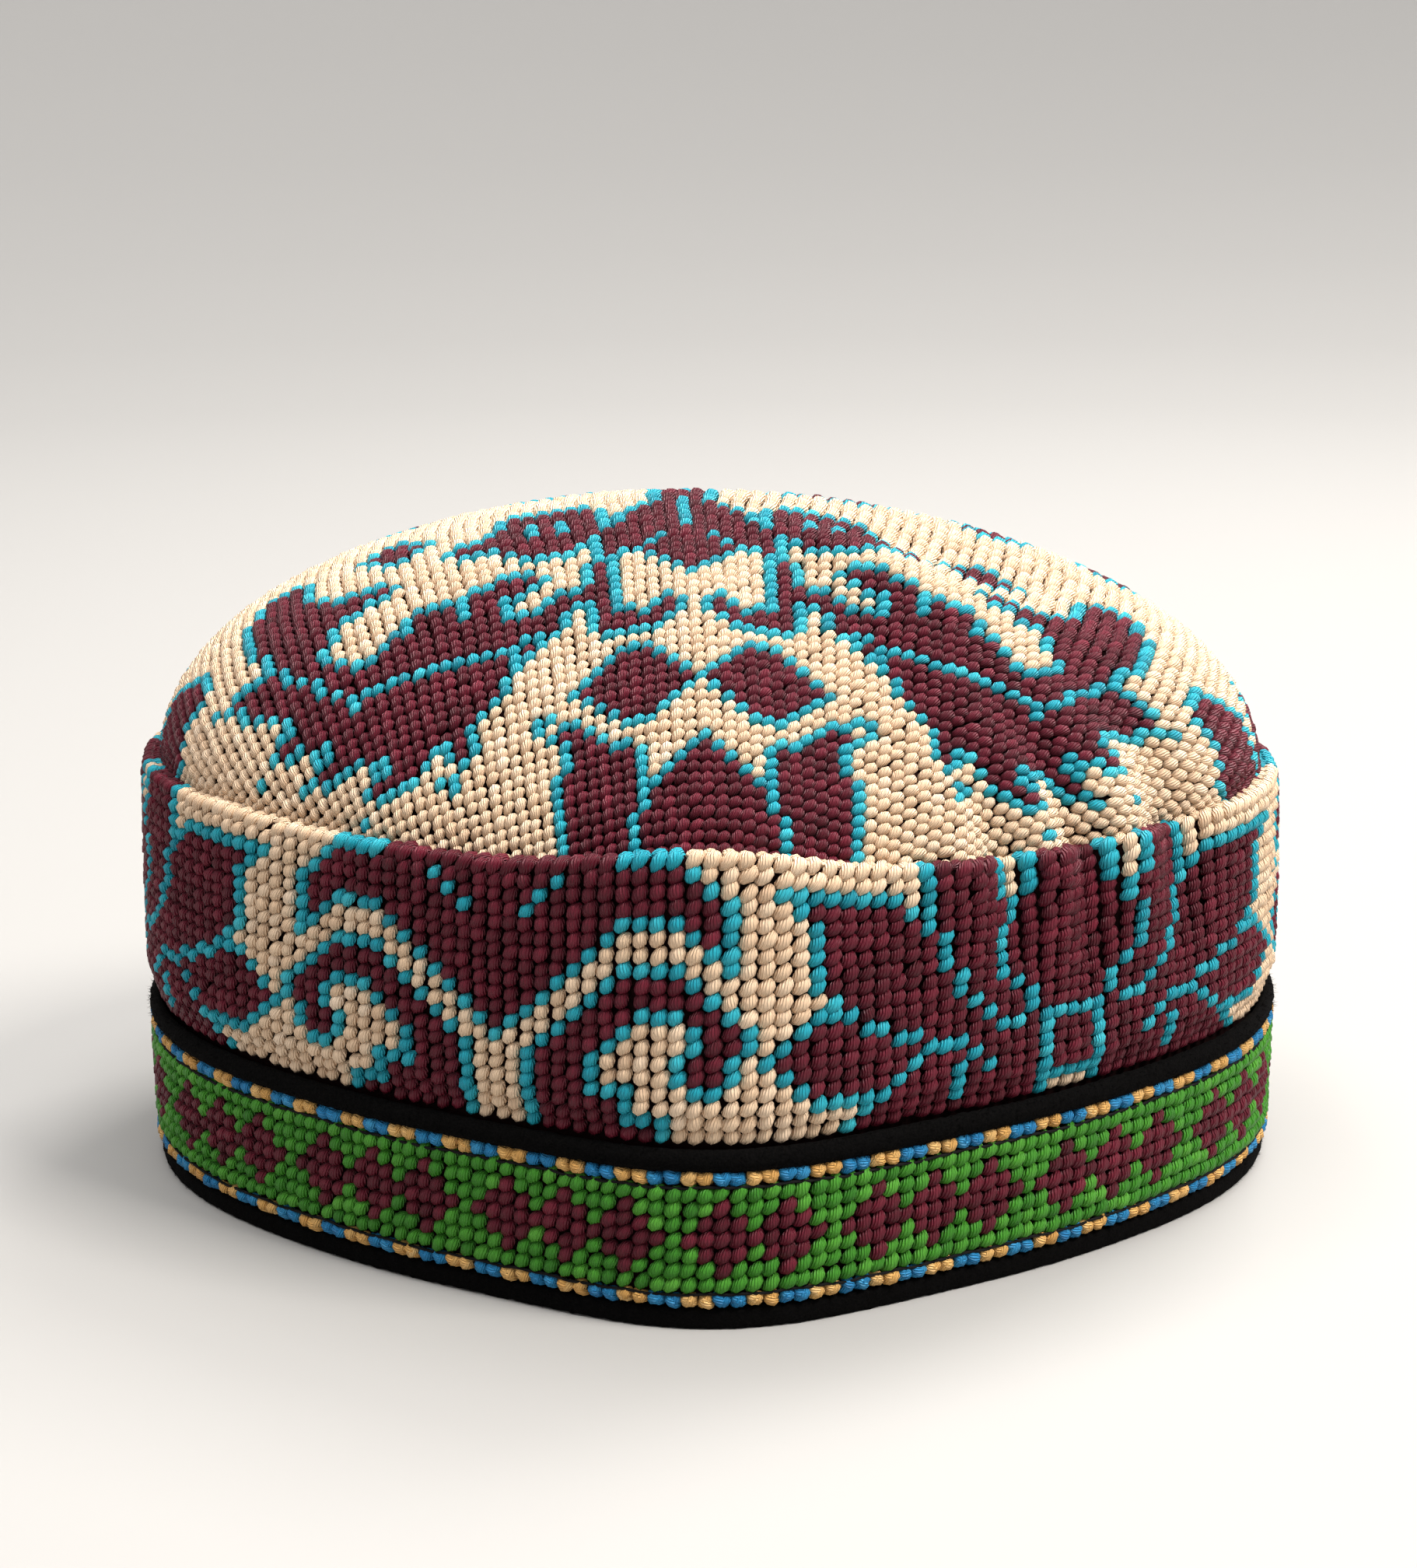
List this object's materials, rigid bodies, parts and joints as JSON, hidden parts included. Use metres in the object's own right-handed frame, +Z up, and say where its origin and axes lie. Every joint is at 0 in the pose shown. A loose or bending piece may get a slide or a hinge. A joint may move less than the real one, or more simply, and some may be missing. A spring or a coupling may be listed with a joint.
{
  "type": "tubeteika skullcap",
  "caption": "Stitched tubeteika skullcap with a domed crown, an upright side wall with a rolled rim, black piping, a trim band and a bound lower edge, standing on its rim.",
  "frame": {"origin": "centre of the cap's box at the floor it stands on", "axes": "+Z up through the crown, -Y towards the front crease, +X to the right seen from the front"},
  "size_m": [0.203, 0.1724, 0.117],
  "materials": {
    "crown_stitching": "matte",
    "wall_stitching": "matte",
    "piping_cord": "matte",
    "band_stitching": "matte",
    "binding_cloth": "matte"
  },
  "bodies": {
    "root": {"crown": "crown_stitching", "side_wall": "wall_stitching", "piping": "piping_cord", "trim_band": "band_stitching", "bottom_binding": "binding_cloth"}
  },
  "joints": []
}
